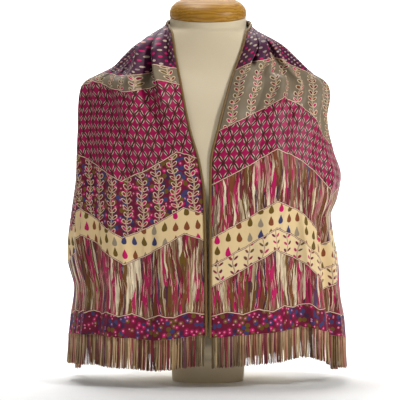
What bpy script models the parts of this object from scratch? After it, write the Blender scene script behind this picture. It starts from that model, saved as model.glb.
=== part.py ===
"""A fringed silk scarf draped over a limbless dress form.

Metres, +Z up, front towards -Y. The origin is on the floor, under the middle of the form's flat foot.
The scarf is one oblong of silk: its middle lies round the nape and its two ends hang down the fronts.
"""

import math
import random

import bmesh
import bpy
from mathutils import Matrix, Vector

# Driving dimensions
CLOTH = 0.0016          # thickness of the scarf's wall
GAP = 0.0003            # clearance between neighbouring pieces
SEAT_GAP = 0.0010       # clearance between the form and the cloth that lies on it
HEM_ROLL = 0.0040       # diameter of the rolled edge
ROLL_GAP = 0.0008       # clearance between the cloth's edge and its rolled edge
SHOULDER_EASE = 0.0015  # how much narrower the form's shoulders are than the cloth's seat on them
FRINGE_HEAD = 0.0040    # height of the strip that the strands hang from
FRINGE_DROP = 0.0440    # length of a strand below its strip
FRINGE_FLOOR = 0.0035   # lowest height that a strand may reach
STRANDS = 72            # strands on each fringed end
STRAND_WAVER = 0.0022   # how far a strand's tip strays sideways
STRAND_LENGTHS = (0.93, 1.04)  # shortest and longest strand, as shares of the drop
STRAND_TAPER = 0.45     # share of its width that a strand loses towards its tip
NECK_TILT = 0.21        # rise of the neck's top plane, front to back, per metre
TILT_FROM = 0.540       # height at which the neck's rings begin to lean to that plane
CAP_OVAL = 0.95         # depth of the turned wooden cap as a share of its width

# The draped cloth in level sections: height, half width on each side, depth at front and back,
# and how square the section is (2 is an ellipse)
CLOTH_SECTIONS = (
    # height, left,   right,  front,  back,   squareness
    (0.040, 0.2180, 0.2150, 0.1335, 0.1260, 2.45),
    (0.100, 0.2100, 0.2090, 0.1315, 0.1225, 2.45),
    (0.145, 0.2050, 0.2025, 0.1295, 0.1200, 2.45),
    (0.190, 0.2140, 0.1990, 0.1280, 0.1170, 2.45),
    (0.229, 0.2145, 0.1930, 0.1265, 0.1150, 2.45),
    (0.257, 0.2130, 0.1910, 0.1260, 0.1140, 2.45),
    (0.285, 0.2110, 0.2020, 0.1260, 0.1130, 2.45),
    (0.322, 0.2070, 0.2085, 0.1270, 0.1120, 2.40),
    (0.360, 0.2060, 0.1970, 0.1230, 0.1110, 2.35),
    (0.415, 0.2030, 0.1860, 0.1050, 0.1090, 2.30),
    (0.445, 0.2000, 0.1900, 0.0910, 0.1050, 2.20),
    (0.460, 0.1970, 0.1880, 0.0840, 0.1010, 2.15),
    (0.471, 0.1880, 0.1800, 0.0785, 0.0970, 2.10),
    (0.480, 0.1700, 0.1650, 0.0740, 0.0930, 2.05),
    (0.490, 0.1500, 0.1540, 0.0700, 0.0885, 2.00),
    (0.508, 0.1290, 0.1320, 0.0650, 0.0815, 2.00),
    (0.527, 0.1070, 0.1100, 0.0620, 0.0740, 2.00),
    (0.546, 0.0760, 0.0790, 0.0600, 0.0675, 2.00),
    (0.556, 0.0655, 0.0670, 0.0590, 0.0640, 2.00),
    (0.564, 0.0622, 0.0632, 0.0585, 0.0625, 2.00),
)

# The dress form below its shoulders; at SEAT_HEIGHTS it follows the inside of the cloth
FORM_SECTIONS = (
    # height, half width, front, back, squareness
    (0.000, 0.0560, 0.0480, 0.0580, 2.2),
    (0.034, 0.0590, 0.0510, 0.0610, 2.2),
    (0.048, 0.1180, 0.0830, 0.0910, 2.2),
    (0.066, 0.1500, 0.0980, 0.1070, 2.2),
    (0.110, 0.1450, 0.0960, 0.1010, 2.2),
    (0.170, 0.1220, 0.0890, 0.0820, 2.2),
    (0.205, 0.1160, 0.0880, 0.0770, 2.2),
    (0.255, 0.1240, 0.1030, 0.0820, 2.2),
    (0.318, 0.1440, 0.1255, 0.0940, 2.2),
    (0.360, 0.1580, 0.1200, 0.1020, 2.2),
    (0.405, 0.1740, 0.1040, 0.1050, 2.2),
)
SEAT_HEIGHTS = (0.445, 0.460, 0.471, 0.480, 0.490, 0.508, 0.527, 0.546)
NECK_RINGS = (
    # height, half width, front, back, squareness
    (0.556, 0.0600, 0.0560, 0.0580, 2.0),
    (0.570, 0.0595, 0.0555, 0.0565, 2.0),
)

# Where the two front edges run: height, distance from the middle on each side
FRONT_EDGES = (
    # height, left,   right
    (0.040, 0.0052, 0.0052),
    (0.127, 0.0055, 0.0048),
    (0.298, 0.0085, 0.0050),
    (0.336, 0.0140, 0.0055),
    (0.352, 0.0175, 0.0065),
    (0.391, 0.0290, 0.0160),
    (0.468, 0.0440, 0.0360),
    (0.530, 0.0550, 0.0575),
    (0.560, 0.0600, 0.0640),
)

# The lower edge: share of the way from the middle front (0) to the middle back (1), height on each side.
# The fringed end reaches to CORNER; beyond it the long outer edge crosses the back.
CORNER = 0.66
LOWER_EDGE = (
    # way,  left,   right
    (0.00, 0.0812, 0.0776),
    (0.11, 0.0727, 0.0842),
    (0.17, 0.0755, 0.0880),
    (0.22, 0.0770, 0.0909),
    (0.28, 0.0780, 0.0850),
    (0.36, 0.0765, 0.0755),
    (0.44, 0.0745, 0.0685),
    (0.50, 0.0720, 0.0650),
    (0.58, 0.0640, 0.0580),
    (0.66, 0.0545, 0.0545),
    (0.72, 0.0900, 0.0890),
    (0.78, 0.1260, 0.1240),
    (0.84, 0.1280, 0.1290),
    (0.91, 0.1080, 0.1120),
    (1.00, 0.0960, 0.0960),
)
NAPE_EDGE = (
    # way, height of the top edge
    (0.00, 0.5440),
    (0.03, 0.5510),
    (0.06, 0.5555),
    (0.14, 0.5605),
    (0.30, 0.5625),
    (0.50, 0.5625),
    (0.70, 0.5605),
    (1.00, 0.5580),
)
SPLIT = 0.785           # the way at which a front stretch ends and the back stretch begins
END_ROOM = 0.012        # way between a fringed corner and the end of the outer rolled edge

# The largest folds: side, way at the fold's foot and at its top, half width as a share of the way,
# how far it stands out (minus for a trough), and the heights between which it runs
LEFT, RIGHT = -1, 1
FOLDS = (
    # side,  foot,  top,  half,   out,     low,   high
    (LEFT, 0.035, 0.050, 0.050, 0.0090, 0.340, 0.575),
    (LEFT, 0.100, 0.140, 0.045, -0.0110, 0.400, 0.575),
    (LEFT, 0.170, 0.220, 0.060, 0.0130, 0.300, 0.552),
    (LEFT, 0.260, 0.330, 0.050, -0.0070, 0.300, 0.550),
    (LEFT, 0.330, 0.400, 0.050, 0.0090, 0.250, 0.520),
    (LEFT, 0.060, 0.070, 0.055, 0.0040, 0.000, 0.230),
    (LEFT, 0.140, 0.130, 0.050, -0.0080, 0.000, 0.270),
    (LEFT, 0.220, 0.205, 0.050, 0.0060, 0.000, 0.250),
    (LEFT, 0.300, 0.280, 0.050, -0.0090, 0.000, 0.300),
    (LEFT, 0.400, 0.380, 0.050, -0.0060, 0.000, 0.220),
    (LEFT, 0.560, 0.540, 0.055, -0.0130, 0.000, 0.420),
    (LEFT, 0.640, 0.610, 0.050, 0.0100, 0.000, 0.400),
    (LEFT, 0.725, 0.690, 0.080, -0.0290, 0.000, 0.440),
    (LEFT, 0.830, 0.790, 0.055, 0.0110, 0.000, 0.470),
    (LEFT, 0.920, 0.900, 0.050, -0.0120, 0.000, 0.400),
    (RIGHT, 0.040, 0.045, 0.040, 0.0070, 0.380, 0.575),
    (RIGHT, 0.120, 0.170, 0.045, -0.0090, 0.450, 0.575),
    (RIGHT, 0.190, 0.230, 0.050, 0.0130, 0.380, 0.555),
    (RIGHT, 0.270, 0.340, 0.045, -0.0120, 0.380, 0.560),
    (RIGHT, 0.350, 0.410, 0.050, 0.0095, 0.330, 0.525),
    (RIGHT, 0.130, 0.120, 0.050, 0.0060, 0.000, 0.300),
    (RIGHT, 0.210, 0.190, 0.045, -0.0080, 0.000, 0.260),
    (RIGHT, 0.290, 0.270, 0.050, 0.0090, 0.000, 0.330),
    (RIGHT, 0.365, 0.360, 0.045, -0.0120, 0.000, 0.310),
    (RIGHT, 0.430, 0.420, 0.040, 0.0040, 0.000, 0.260),
    (RIGHT, 0.570, 0.550, 0.055, -0.0140, 0.000, 0.420),
    (RIGHT, 0.645, 0.620, 0.050, 0.0090, 0.000, 0.380),
    (RIGHT, 0.725, 0.690, 0.080, -0.0280, 0.000, 0.450),
    (RIGHT, 0.820, 0.780, 0.055, 0.0120, 0.000, 0.460),
    (RIGHT, 0.910, 0.880, 0.050, -0.0110, 0.000, 0.420),
)

# Mesh density
FRONT_COLUMNS, BACK_COLUMNS, CLOTH_ROWS = 28, 18, 22
SHOULDER_RISE, SHOULDER_ROWS = 0.70, 0.42   # the cloth below this rise takes this share of the rows
SEAM_COLUMN = 0.2       # width of the column beside a stretch's end, as a share of the others
FORM_COLUMNS, FORM_RINGS = 32, 18
RING_APART = 0.004      # least height between two of the form's rings
FOOT_TOP, SHOULDERS = 0.070, 0.440  # below and above these heights the form has a ring at each table row
CAP_STEPS = 32
SAMPLE = 0.004          # step used to find the cloth's directions, as a share of a side
ANGLE_SAMPLE = 0.02     # step round the body used to find which way a fold stands out
FADE = 0.35             # share of a fold's height over which it fades out

CAP_PROFILE = (
    # radius, height above the cap's underside
    (0.0000, 0.0335),
    (0.0200, 0.0318),
    (0.0420, 0.0262),
    (0.0545, 0.0185),
    (0.0595, 0.0110),
    (0.0605, 0.0040),
    (0.0590, 0.0000),
    (0.0000, 0.0000),
)


def read_off(table, column, where):
    """The value of one column, on a smooth curve through the table's rows (its first column rises)."""
    if where <= table[0][0]:
        return table[0][column]
    if where >= table[-1][0]:
        return table[-1][column]
    row = next(i for i in range(len(table) - 1) if table[i + 1][0] >= where)
    low, high = table[row], table[row + 1]
    span = high[0] - low[0]
    slope = (high[column] - low[column]) / span
    before = slope if row == 0 else (low[column] - table[row - 1][column]) / (low[0] - table[row - 1][0])
    after = slope
    if row + 2 < len(table):
        after = (table[row + 2][column] - high[column]) / (table[row + 2][0] - high[0])
    start = 0.0 if before * slope <= 0 else 2 * before * slope / (before + slope)
    finish = 0.0 if after * slope <= 0 else 2 * after * slope / (after + slope)
    t = (where - low[0]) / span
    return (low[column] * (2 * t**3 - 3 * t**2 + 1) + high[column] * (3 * t**2 - 2 * t**3)
            + span * (start * (t**3 - 2 * t**2 + t) + finish * (t**3 - t**2)))


def level_point(angle, half_width, front, back, squareness):
    """A point of a level section; angle 0 is the front, a quarter turn the +X side, a half turn the back."""
    sine, cosine = math.sin(angle), math.cos(angle)
    depth = front if cosine > 0 else back
    power = 2 / squareness
    x = math.copysign(half_width * abs(sine) ** power, sine)
    y = -math.copysign(depth * abs(cosine) ** power, cosine)
    return x, y


def seat_row(height):
    """The form's section at a height where the cloth rests on it: the cloth's, drawn in by the clearance."""
    row = [height]
    for columns in ((1, 2), (3,), (4,)):
        reach = min(read_off(CLOTH_SECTIONS, c, height) for c in columns)
        slope = (min(read_off(CLOTH_SECTIONS, c, height + SAMPLE) for c in columns) - reach) / SAMPLE
        row.append(reach - (CLOTH / 2 + SEAT_GAP) * math.hypot(1, slope))
    row[1] -= SHOULDER_EASE
    return (*row, read_off(CLOTH_SECTIONS, 5, height))


FORM_ROWS = FORM_SECTIONS + tuple(seat_row(height) for height in SEAT_HEIGHTS) + NECK_RINGS


def smooth_bump(distance):
    """1 at no distance, falling softly to 0 at a distance of 1."""
    return 0.0 if abs(distance) >= 1 else math.cos(distance * math.pi / 2) ** 2


def ease(value):
    """0 to 1 with soft ends."""
    value = min(max(value, 0.0), 1.0)
    return value * value * (3 - 2 * value)


def fold_depth(side, way, height):
    """How far all the folds together move the cloth out at this place."""
    total = 0.0
    for fold_side, foot, top, half, out, low, high in FOLDS:
        if fold_side != side or not low < height < high:
            continue
        rise = (height - low) / (high - low)
        middle = foot + (top - foot) * rise
        fade = FADE * (high - low)
        strength = ease((high - height) / fade) * (1.0 if low <= 0 else ease((height - low) / fade))
        total += out * strength * smooth_bump((way - middle) / half)
    return total


def clear_of_form(x, y, height):
    """Moves a point outwards until the cloth's inner face is clear of the form."""
    half_width, front, back, squareness = (read_off(FORM_ROWS, c, height) for c in (1, 2, 3, 4))
    depth = front if y < 0 else back
    scale = ((abs(x) / half_width) ** squareness + (abs(y) / depth) ** squareness) ** (1 / squareness)
    distance = math.hypot(x, y)
    clearance = CLOTH / 2 + SEAT_GAP
    if SEAT_HEIGHTS[0] <= height <= SEAT_HEIGHTS[-1]:
        slope = (read_off(FORM_ROWS, 1, height + SAMPLE) - half_width) / SAMPLE
        clearance *= math.hypot(1, slope)
    needed = 1 + clearance * scale / distance
    if scale >= needed:
        return x, y
    return x * needed / scale, y * needed / scale


def cloth_point(turn, rise):
    """A point of the cloth's middle surface. turn goes once round, from the right front edge (0) over the
    middle back (1) to the left front edge (2); rise goes from the lower edge (0) to the neck (1)."""
    side, way = (RIGHT, turn) if turn <= 1 else (LEFT, 2 - turn)
    column = 2 if side == RIGHT else 1
    bottom = read_off(LOWER_EDGE, column, way)
    top = read_off(NAPE_EDGE, 1, way)
    height = bottom + (top - bottom) * rise
    half_width = read_off(CLOTH_SECTIONS, column, height)
    front, back, squareness = (read_off(CLOTH_SECTIONS, c, height) for c in (3, 4, 5))
    edge = read_off(FRONT_EDGES, column, height)
    first = math.asin(min(edge / half_width, 1.0) ** (squareness / 2))
    angle = first + (math.pi - first) * way
    x, y = level_point(angle, half_width, front, back, squareness)
    inner, outer = (level_point(angle + a, half_width, front, back, squareness)
                    for a in (-ANGLE_SAMPLE, ANGLE_SAMPLE))
    along = Vector((outer[0] - inner[0], outer[1] - inner[1])).normalized()
    depth = fold_depth(side, way, height)
    x, y = clear_of_form(x + along.y * depth, y - along.x * depth, height)
    return Vector((side * x, y, height))


def cloth_frame(turn, rise):
    """The cloth's point, its direction round the body, its direction up the cloth, and its outward one."""
    before, after = max(turn - SAMPLE, 0.0), min(turn + SAMPLE, 2.0)
    low, high = max(rise - SAMPLE, 0.0), min(rise + SAMPLE, 1.0)
    around = (cloth_point(after, rise) - cloth_point(before, rise)).normalized()
    up = (cloth_point(turn, high) - cloth_point(turn, low)).normalized()
    return cloth_point(turn, rise), around, up, around.cross(up).normalized()


def give_material(piece, name, colour, roughness):
    """A plain surface in the piece's own colour."""
    material = bpy.data.materials.new(name)
    material.use_nodes = True
    shader = material.node_tree.nodes["Principled BSDF"]
    shader.inputs["Base Color"].default_value = (*colour, 1.0)
    shader.inputs["Roughness"].default_value = roughness
    piece.data.materials.append(material)


def add_piece(name, mesh):
    """A mesh as a named piece of the scarf's collection."""
    piece = bpy.data.objects.new(name, mesh)
    bpy.data.collections["silk_scarf"].objects.link(piece)
    return piece


def mesh_of(name, shape):
    """A finished bmesh as a mesh with smooth shading."""
    mesh = bpy.data.meshes.new(name)
    shape.to_mesh(mesh)
    shape.free()
    mesh.shade_smooth()
    return mesh


def row_rise(row):
    """How far up the cloth a row lies: the rows stand closer together over the shoulders."""
    if row < SHOULDER_ROWS:
        return SHOULDER_RISE * row / SHOULDER_ROWS
    return SHOULDER_RISE + (1 - SHOULDER_RISE) * (row - SHOULDER_ROWS) / (1 - SHOULDER_ROWS)


def make_stretch(name, start, end, columns):
    """One stretch of the draped cloth, between two places round the body, as a thin wall."""
    turns = [turn for turn in column_turns() if start - 1e-6 < turn < end + 1e-6]
    shape = bmesh.new()
    bmesh.ops.create_grid(shape, x_segments=columns, y_segments=CLOTH_ROWS, size=0.5)
    for vertex in shape.verts:
        column, row = round((vertex.co.x + 0.5) * columns), vertex.co.y + 0.5
        point, around, _, _ = cloth_frame(turns[column], row_rise(row))
        if column == 0 and start > 0:
            point += around * GAP
        if column == columns and end < 2:
            point -= around * GAP
        vertex.co = point
    piece = add_piece(name, mesh_of(name, shape))
    wall = piece.modifiers.new("wall", "SOLIDIFY")
    wall.thickness = CLOTH
    wall.offset = 0.0
    give_material(piece, name, (0.30, 0.03, 0.10), 0.45)


def column_turns():
    """Where the cloth's columns stand, from the right front edge round to the left one."""
    def stretch(start, end, columns, seams):
        marks = list(range(columns + 1))
        if "start" in seams:
            marks[1] = SEAM_COLUMN
        if "end" in seams:
            marks[-2] = columns - SEAM_COLUMN
        return [start + (end - start) * mark / columns for mark in marks]

    right = stretch(0.0, SPLIT, FRONT_COLUMNS, ("end",))
    back = stretch(SPLIT, 2 - SPLIT, BACK_COLUMNS, ("start", "end"))
    left = stretch(2 - SPLIT, 2.0, FRONT_COLUMNS, ("start",))
    return right + back[1:-1] + left


def lower_edge_point(turn):
    """A point of the cloth's lower edge, on the straight line between its columns."""
    turns = column_turns()
    last = next(i for i in range(1, len(turns)) if turns[i] >= turn - 1e-9)
    share = (turn - turns[last - 1]) / (turns[last] - turns[last - 1])
    return cloth_point(turns[last - 1], 0.0).lerp(cloth_point(turns[last], 0.0), share)


def rolled_route(places, inward, shift):
    """The middle line of a rolled edge: it runs beside the line through these places of the cloth's edge,
    on the side away from the cloth, and shifted outwards from the cloth's middle."""
    frames = [cloth_frame(turn, rise) for turn, rise in places]
    points = [frame[0] for frame in frames]
    route = []
    for i, (place, (point, around, up, out)) in enumerate(zip(places, frames)):
        before = (point - points[i - 1]).normalized() if i > 0 else None
        after = (points[i + 1] - point).normalized() if i + 1 < len(points) else before
        before = before or after
        along = (before + after).normalized()
        into_cloth = inward(*place, around, up)
        away = (along * into_cloth.dot(along) - into_cloth).normalized()
        mitre = max(after.dot(along), 0.5)  # a sharp bend moves the roll out by twice its distance at most
        route.append(point + away * (HEM_ROLL / 2 + ROLL_GAP) / mitre + out * shift)
    return route


def make_roll(name, route):
    """A rolled edge as a round cord of stitched cloth along its route."""
    curve = bpy.data.curves.new(name, "CURVE")
    curve.dimensions = "3D"
    curve.bevel_depth = HEM_ROLL / 2
    curve.bevel_resolution = 1
    curve.use_fill_caps = True
    spline = curve.splines.new("POLY")
    spline.points.add(len(route) - 1)
    for place, point in zip(spline.points, route):
        place.co = (*point, 1.0)
    piece = add_piece(name, curve)
    give_material(piece, name, (0.10, 0.065, 0.015), 0.5)


def make_inner_edge():
    """The rolled long edge up the right front, round the nape and down the left front."""
    rises = [row_rise(row / CLOTH_ROWS) for row in range(CLOTH_ROWS)]
    places = [(0.0, rise) for rise in rises]
    places += [(turn, 1.0) for turn in column_turns()]
    places += [(2.0, rise) for rise in reversed(rises)]

    def inward(turn, rise, around, up):
        backward = around if turn < 1 else -around
        if rise < 1:
            return backward
        return backward - up if turn in (0.0, 2.0) else -up

    flush_inside = (HEM_ROLL - CLOTH) / 2
    make_roll("hem_inner_edge", rolled_route(places, inward, flush_inside))


def make_outer_edge():
    """The rolled long edge that crosses the back from one fringed corner to the other."""
    corner = CORNER + END_ROOM
    places = [(turn, 0.0) for turn in column_turns() if corner < turn < 2 - corner]
    make_roll("hem_outer_edge", rolled_route(places, lambda _turn, _rise, _around, up: up, 0.0))


def make_fringe(name, start, end, seed):
    """A fringed end: a narrow strip just under the cloth, with strands drawn down from every second cell."""
    chance = random.Random(seed)
    cells = 2 * STRANDS - 1
    shape = bmesh.new()
    rings = []
    for i in range(cells + 1):
        turn = start + (end - start) * i / cells
        point, around = lower_edge_point(turn), cloth_frame(turn, 0.0)[1]
        level = Vector((around.x, around.y, 0)).normalized()
        out = Vector((level.y, -level.x, 0)) * CLOTH / 2
        under = point - Vector((0, 0, GAP + CLOTH / 2 * abs(around.z)))
        foot = under - Vector((0, 0, FRINGE_HEAD))
        rings.append([shape.verts.new(p) for p in (under + out, foot + out, foot - out, under - out)])
    for before, after in zip(rings, rings[1:]):
        for a in range(4):
            b = (a + 1) % 4
            shape.faces.new((before[a], before[b], after[b], after[a]))
    shape.faces.new(reversed(rings[0]))
    shape.faces.new(rings[-1])
    bmesh.ops.recalc_face_normals(shape, faces=shape.faces[:])
    shape.faces.ensure_lookup_table()
    roots = [shape.faces[4 * cell + 1] for cell in range(0, cells, 2)]
    for root in roots:
        tip = bmesh.ops.extrude_discrete_faces(shape, faces=[root])["faces"][0]
        corners = tip.verts[:]
        middle = tip.calc_center_median()
        drop = min(FRINGE_DROP * chance.uniform(*STRAND_LENGTHS), middle.z - FRINGE_FLOOR)
        stray = Vector((chance.uniform(-1, 1), chance.uniform(-1, 1), 0)) * STRAND_WAVER
        for corner in corners:
            inward = Vector((middle.x - corner.co.x, middle.y - corner.co.y, 0)) * STRAND_TAPER
            corner.co = Vector((corner.co.x, corner.co.y, middle.z - drop)) + inward + stray
    piece = add_piece(name, mesh_of(name, shape))
    give_material(piece, name, (0.30, 0.18, 0.12), 0.6)


def make_torso():
    """The dress form: hip, waist, bust, shoulders and neck in one smooth closed body on a flat foot."""
    shape = bmesh.new()
    neck_top = FORM_ROWS[-1][0]
    table_rows = [row[0] for row in FORM_ROWS if not FOOT_TOP < row[0] < SHOULDERS]
    even_rows = [neck_top * i / FORM_RINGS for i in range(FORM_RINGS + 1)]
    heights = table_rows + [h for h in even_rows if min(abs(h - row) for row in table_rows) > RING_APART]
    rings = []
    for height in sorted(heights):
        sizes = [read_off(FORM_ROWS, c, height) for c in (1, 2, 3, 4)]
        tilt = NECK_TILT * ease((height - TILT_FROM) / (neck_top - TILT_FROM))
        ring = []
        for i in range(FORM_COLUMNS):
            x, y = level_point(2 * math.pi * i / FORM_COLUMNS, *sizes)
            ring.append(shape.verts.new((x, y, height + tilt * y)))
        rings.append(ring)
    for low, high in zip(rings, rings[1:]):
        for i in range(FORM_COLUMNS):
            j = (i + 1) % FORM_COLUMNS
            shape.faces.new((low[i], low[j], high[j], high[i]))
    shape.faces.new(reversed(rings[0]))
    shape.faces.new(rings[-1])
    mesh = mesh_of("form_torso", shape)
    mesh.set_sharp_from_angle(angle=math.radians(50))
    piece = add_piece("form_torso", mesh)
    give_material(piece, "form_torso", (0.62, 0.53, 0.40), 0.8)


def make_cap():
    """The turned wooden cap, tilted forward on the slanted neck."""
    shape = bmesh.new()
    points = [shape.verts.new((radius, 0, height)) for radius, height in CAP_PROFILE]
    for above, below in zip(points, points[1:]):
        shape.edges.new((above, below))
    piece = add_piece("form_neck_cap", mesh_of("form_neck_cap", shape))
    turning = piece.modifiers.new("turning", "SCREW")
    turning.steps = turning.render_steps = CAP_STEPS
    turning.use_merge_vertices = True
    turning.merge_threshold = 0.00001
    rim = piece.modifiers.new("rim", "BEVEL")
    rim.width = 0.0008
    rim.segments = 2
    rim.limit_method = "ANGLE"
    rim.angle_limit = math.radians(60)
    lean = math.atan(NECK_TILT)
    seat = Vector((0, 0, FORM_ROWS[-1][0] + GAP))
    oval = Matrix.Diagonal((1, CAP_OVAL, 1, 1))
    piece.matrix_world = Matrix.Translation(seat) @ Matrix.Rotation(lean, 4, "X") @ oval
    give_material(piece, "form_neck_cap", (0.48, 0.26, 0.08), 0.35)


def main():
    for old in list(bpy.data.objects):
        bpy.data.objects.remove(old, do_unlink=True)
    scarf = bpy.data.collections.new("silk_scarf")
    bpy.context.scene.collection.children.link(scarf)

    make_torso()
    make_cap()
    make_stretch("scarf_right_front", 0.0, SPLIT, FRONT_COLUMNS)
    make_stretch("scarf_back", SPLIT, 2 - SPLIT, BACK_COLUMNS)
    make_stretch("scarf_left_front", 2 - SPLIT, 2.0, FRONT_COLUMNS)
    make_inner_edge()
    make_outer_edge()
    make_fringe("fringe_right", 0.0, CORNER, seed=3)
    make_fringe("fringe_left", 2 - CORNER, 2.0, seed=8)


main()
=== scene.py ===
import math
import random

import bmesh
import bpy
import numpy as np
from mathutils import Matrix, Vector


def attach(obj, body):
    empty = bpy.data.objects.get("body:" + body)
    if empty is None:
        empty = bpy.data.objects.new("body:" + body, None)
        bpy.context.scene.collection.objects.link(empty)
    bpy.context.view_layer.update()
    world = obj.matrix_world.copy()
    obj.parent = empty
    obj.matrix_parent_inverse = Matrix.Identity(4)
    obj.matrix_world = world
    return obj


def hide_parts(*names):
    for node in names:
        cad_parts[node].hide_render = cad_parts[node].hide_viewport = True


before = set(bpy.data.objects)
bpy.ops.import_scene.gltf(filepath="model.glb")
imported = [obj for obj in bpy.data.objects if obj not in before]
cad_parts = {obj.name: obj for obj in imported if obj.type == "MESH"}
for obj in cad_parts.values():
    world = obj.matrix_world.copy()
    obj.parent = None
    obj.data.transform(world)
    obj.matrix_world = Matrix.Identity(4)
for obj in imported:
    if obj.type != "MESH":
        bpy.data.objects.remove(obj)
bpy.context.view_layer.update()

scene = bpy.context.scene

# Studio: a pale sweep of floor, soft light from the front and a camera straight on at chest height.
# The view is as wide as the drape with a narrow margin, and cuts the very top of the wooden cap.
view_middle = Vector((-0.0125, 0.0, 0.2830))
view_width = 0.628
view_distance = 3.5
view_rise = math.radians(2.0)
sensor = 36.0

camera_data = bpy.data.cameras.new("camera")
camera_data.sensor_width = sensor
camera_data.lens = sensor * view_distance / view_width
camera = bpy.data.objects.new("camera", camera_data)
camera.location = view_middle + view_distance * Vector((0, -math.cos(view_rise), math.sin(view_rise)))
camera.rotation_euler = (math.pi / 2 - view_rise, 0, 0)
scene.collection.objects.link(camera)
scene.camera = camera
scene.view_settings.view_transform = "Standard"

sweep_half_width = 7.0
sweep_front, bend_starts, bend_radius, wall_top = -7.0, 4.3, 1.2, 4.5
sweep = [(y, 0.0) for y in np.linspace(sweep_front, bend_starts, 20)]
for bend in np.linspace(0.1, math.pi / 2, 14):
    sweep.append((bend_starts + bend_radius * math.sin(bend), bend_radius - bend_radius * math.cos(bend)))
sweep.append((bend_starts + bend_radius, wall_top))
floor_mesh = bpy.data.meshes.new("floor")
floor_mesh.from_pydata([(x, y, z) for y, z in sweep for x in (-sweep_half_width, sweep_half_width)], [],
                       [(2 * i, 2 * i + 1, 2 * i + 3, 2 * i + 2) for i in range(len(sweep) - 1)])
floor_mesh.shade_smooth()
floor = bpy.data.objects.new("floor", floor_mesh)
scene.collection.objects.link(floor)
pale = bpy.data.materials.new("pale_floor")
pale.use_nodes = True
pale.node_tree.nodes["Principled BSDF"].inputs["Base Color"].default_value = (0.90, 0.90, 0.89, 1)
pale.node_tree.nodes["Principled BSDF"].inputs["Roughness"].default_value = 0.9
floor.data.materials.append(pale)

scene.world = bpy.data.worlds.new("studio")
scene.world.use_nodes = True
scene.world.node_tree.nodes["Background"].inputs["Color"].default_value = (1, 1, 1, 1)
scene.world.node_tree.nodes["Background"].inputs["Strength"].default_value = 0.15

for name, place, aim, size, watts in (
    # light, place, what it points at, side of the square, power
    ("key", (2.1, -1.5, 1.6), (0, 0, 0.3), 0.5, 47),
    ("fill", (-1.2, -2.2, 0.8), (0, 0, 0.3), 1.0, 6),
    ("top", (-0.3, 0.1, 2.0), (0, 0, 0.3), 0.5, 12),
    ("floor", (0, 1.6, 2.6), (0, 2.0, 0), 2.0, 60),
    ("backdrop", (0, 3.2, 3.0), (0, 5.2, 0.5), 3.0, 300),
):
    light_data = bpy.data.lights.new(name, "AREA")
    light_data.size = size
    light_data.energy = watts
    light = bpy.data.objects.new(name, light_data)
    light.location = place
    light.rotation_euler = (Vector(aim) - Vector(place)).to_track_quat("-Z", "Y").to_euler()
    scene.collection.objects.link(light)

# The dress form: a hollow moulded shell with a smooth cream cover, from a narrow flat foot over hips,
# waist and bust to the shoulders, which carry the cloth, and a neck cut on a slant for its cap.
thread_gap = 0.0010     # clear space between the form and the cloth's inner face
cloth_wall = 0.0016     # the solids' wall, whose middle the sheet follows
shoulder_ease = 0.0015  # the shoulders are this much narrower still
neck_tilt = 0.21        # rise of the neck's slant towards the back
slant_starts = 0.540
neck_top = 0.5700

drape_sections = np.array((
    # height, reach to the left, right, front and back, squareness
    (0.040, 0.2180, 0.2150, 0.1335, 0.1260, 2.45),
    (0.100, 0.2100, 0.2090, 0.1315, 0.1225, 2.45),
    (0.145, 0.2050, 0.2025, 0.1295, 0.1200, 2.45),
    (0.190, 0.2140, 0.1990, 0.1280, 0.1170, 2.45),
    (0.229, 0.2145, 0.1930, 0.1265, 0.1150, 2.45),
    (0.257, 0.2130, 0.1910, 0.1260, 0.1140, 2.45),
    (0.285, 0.2110, 0.2020, 0.1260, 0.1130, 2.45),
    (0.322, 0.2070, 0.2085, 0.1270, 0.1120, 2.40),
    (0.360, 0.2060, 0.1970, 0.1230, 0.1110, 2.35),
    (0.415, 0.2030, 0.1860, 0.1050, 0.1090, 2.30),
    (0.445, 0.2000, 0.1900, 0.0910, 0.1050, 2.20),
    (0.460, 0.1970, 0.1880, 0.0840, 0.1010, 2.15),
    (0.471, 0.1880, 0.1800, 0.0785, 0.0970, 2.10),
    (0.480, 0.1700, 0.1650, 0.0740, 0.0930, 2.05),
    (0.490, 0.1500, 0.1540, 0.0700, 0.0885, 2.00),
    (0.508, 0.1290, 0.1320, 0.0650, 0.0815, 2.00),
    (0.527, 0.1070, 0.1100, 0.0620, 0.0740, 2.00),
    (0.546, 0.0760, 0.0790, 0.0600, 0.0675, 2.00),
    (0.556, 0.0655, 0.0670, 0.0590, 0.0640, 2.00),
    (0.564, 0.0622, 0.0632, 0.0585, 0.0625, 2.00),
))
form_sections = (
    # height, half width, front, back, squareness
    (0.000, 0.0560, 0.0480, 0.0580, 2.2),
    (0.034, 0.0590, 0.0510, 0.0610, 2.2),
    (0.048, 0.1180, 0.0830, 0.0910, 2.2),
    (0.066, 0.1500, 0.0980, 0.1070, 2.2),
    (0.110, 0.1450, 0.0960, 0.1010, 2.2),
    (0.170, 0.1220, 0.0890, 0.0820, 2.2),
    (0.205, 0.1160, 0.0880, 0.0770, 2.2),
    (0.255, 0.1240, 0.1030, 0.0820, 2.2),
    (0.318, 0.1440, 0.1255, 0.0940, 2.2),
    (0.360, 0.1580, 0.1200, 0.1020, 2.2),
    (0.405, 0.1740, 0.1040, 0.1050, 2.2),
)
seat_heights = (0.445, 0.460, 0.471, 0.480, 0.490, 0.508, 0.527, 0.546)
neck_rings = (
    (0.556, 0.0600, 0.0560, 0.0580, 2.0),
    (neck_top, 0.0595, 0.0555, 0.0565, 2.0),
)
slope_step = 0.004


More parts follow.
